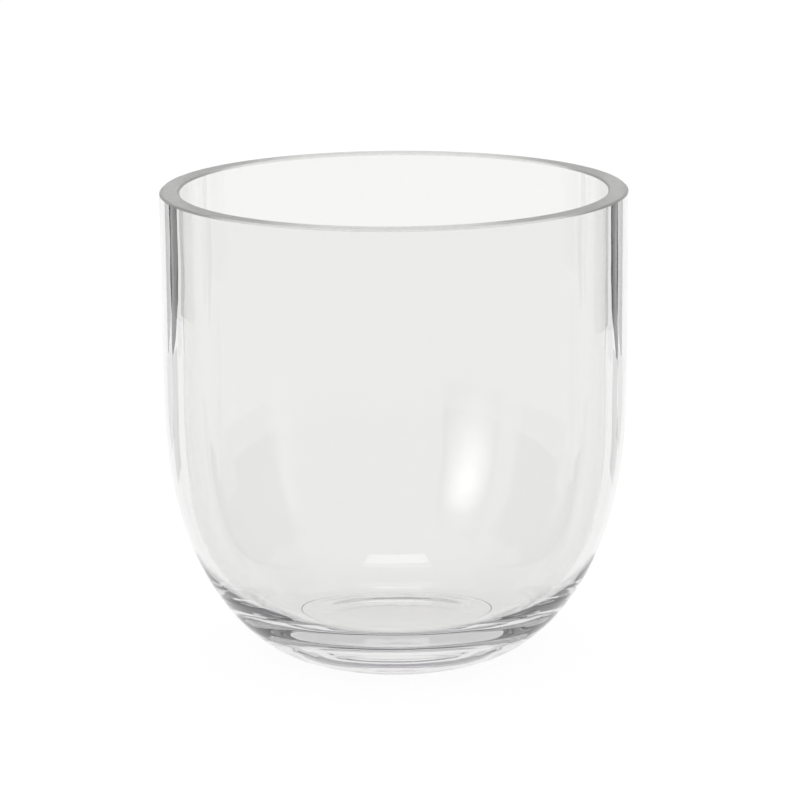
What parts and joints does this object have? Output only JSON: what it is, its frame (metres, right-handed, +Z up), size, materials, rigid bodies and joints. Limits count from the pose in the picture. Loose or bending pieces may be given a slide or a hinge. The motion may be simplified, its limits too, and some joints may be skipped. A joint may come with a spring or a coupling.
{
  "type": "glass flower vase",
  "caption": "Clear glass vase with straight sides, a flat ground rim, a long rounded heel and a heavy floor; holds cut stems in water.",
  "frame": {"origin": "centre of the foot, on the surface that the vase stands on", "axes": "+Z up along the axis of the vase, through the middle of its mouth; X and Y across it"},
  "size_m": [0.15, 0.15, 0.1525],
  "materials": {
    "clear_glass": "fire-polished clear glass with a satin-ground rim"
  },
  "bodies": {
    "root": {"vase_body": "clear_glass"}
  },
  "joints": []
}
